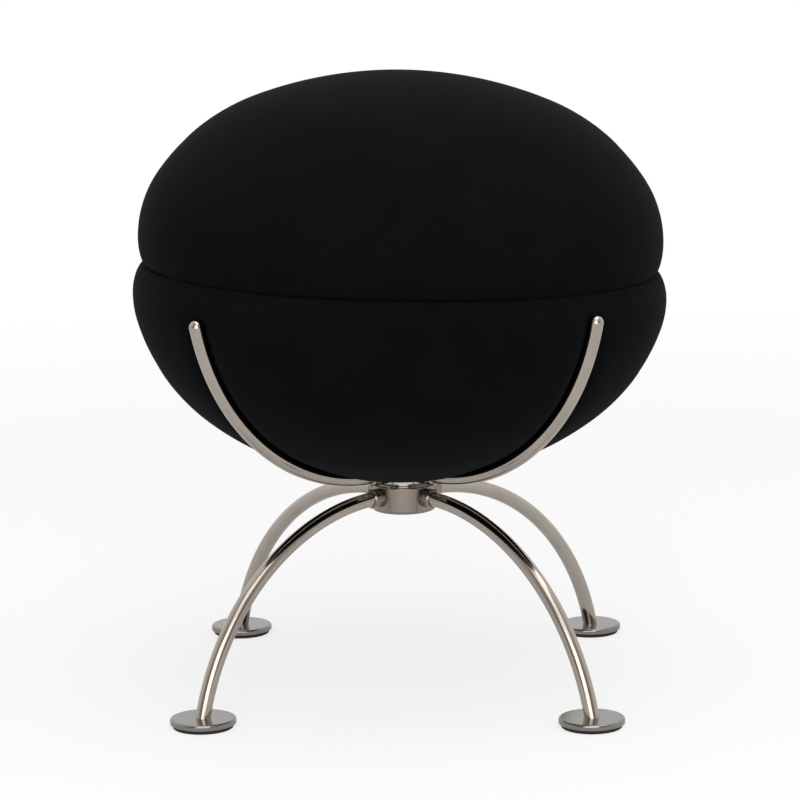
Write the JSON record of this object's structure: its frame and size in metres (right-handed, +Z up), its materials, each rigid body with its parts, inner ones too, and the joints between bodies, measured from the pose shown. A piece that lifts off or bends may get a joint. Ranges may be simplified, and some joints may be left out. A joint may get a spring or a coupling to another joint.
{
  "type": "vanity stool",
  "caption": "Low round stool: a black fabric bowl and domed cushion held in bent metal arms, on a swivel neck over bent rod legs with round foot discs.",
  "frame": {"origin": "on the floor under the middle of the stool, on the swivel's axis", "axes": "+Z up along the swivel's axis; +X to the right and -Y towards the viewer of the picture, each midway between two legs"},
  "size_m": [0.4338, 0.4338, 0.5027],
  "materials": {
    "polished_nickel": "polished",
    "satin_nickel": "satin",
    "glide": "matte",
    "zinc_steel": "satin",
    "bronze": "satin",
    "black_plastic": "matte",
    "plywood": "matte",
    "foam": "matte",
    "black_fabric": "matte"
  },
  "bodies": {
    "base": {"hub": "satin_nickel", "upper_bush": "bronze", "lower_bush": "bronze", "hub_cap": "black_plastic", "leg_1": "polished_nickel", "leg_2": "polished_nickel", "leg_3": "polished_nickel", "leg_4": "polished_nickel", "leg_collar_1": "satin_nickel", "leg_collar_2": "satin_nickel", "leg_collar_3": "satin_nickel", "leg_collar_4": "satin_nickel", "foot_disc_1": "satin_nickel", "foot_disc_2": "satin_nickel", "foot_disc_3": "satin_nickel", "foot_disc_4": "satin_nickel", "foot_pad_1": "glide", "foot_pad_2": "glide", "foot_pad_3": "glide", "foot_pad_4": "glide", "foot_screws": "zinc_steel", "leg_set_screws": "zinc_steel"},
    "seat": {"seat_hub": "polished_nickel", "spindle_washer": "zinc_steel", "spindle_nut": "zinc_steel", "arm_1": "polished_nickel", "arm_2": "polished_nickel", "arm_3": "polished_nickel", "arm_4": "polished_nickel", "arm_collar_1": "polished_nickel", "arm_collar_2": "polished_nickel", "arm_collar_3": "polished_nickel", "arm_collar_4": "polished_nickel", "arm_set_screws": "zinc_steel", "bowl_plate": "zinc_steel", "centre_stud": "zinc_steel", "spacer_tube": "zinc_steel", "tee_nut": "zinc_steel", "bowl_board": "plywood", "bowl_core": "foam", "bowl_cover": "black_fabric", "cushion_board": "plywood", "cushion_foam": "foam", "cushion_cover": "black_fabric"}
  },
  "joints": [
    {"name": "seat_swivel", "type": "hinge", "parent": "base", "child": "seat", "pos_m": [0, 0, 0.166], "axis": [0, 0, 1], "continuous": true}
  ]
}
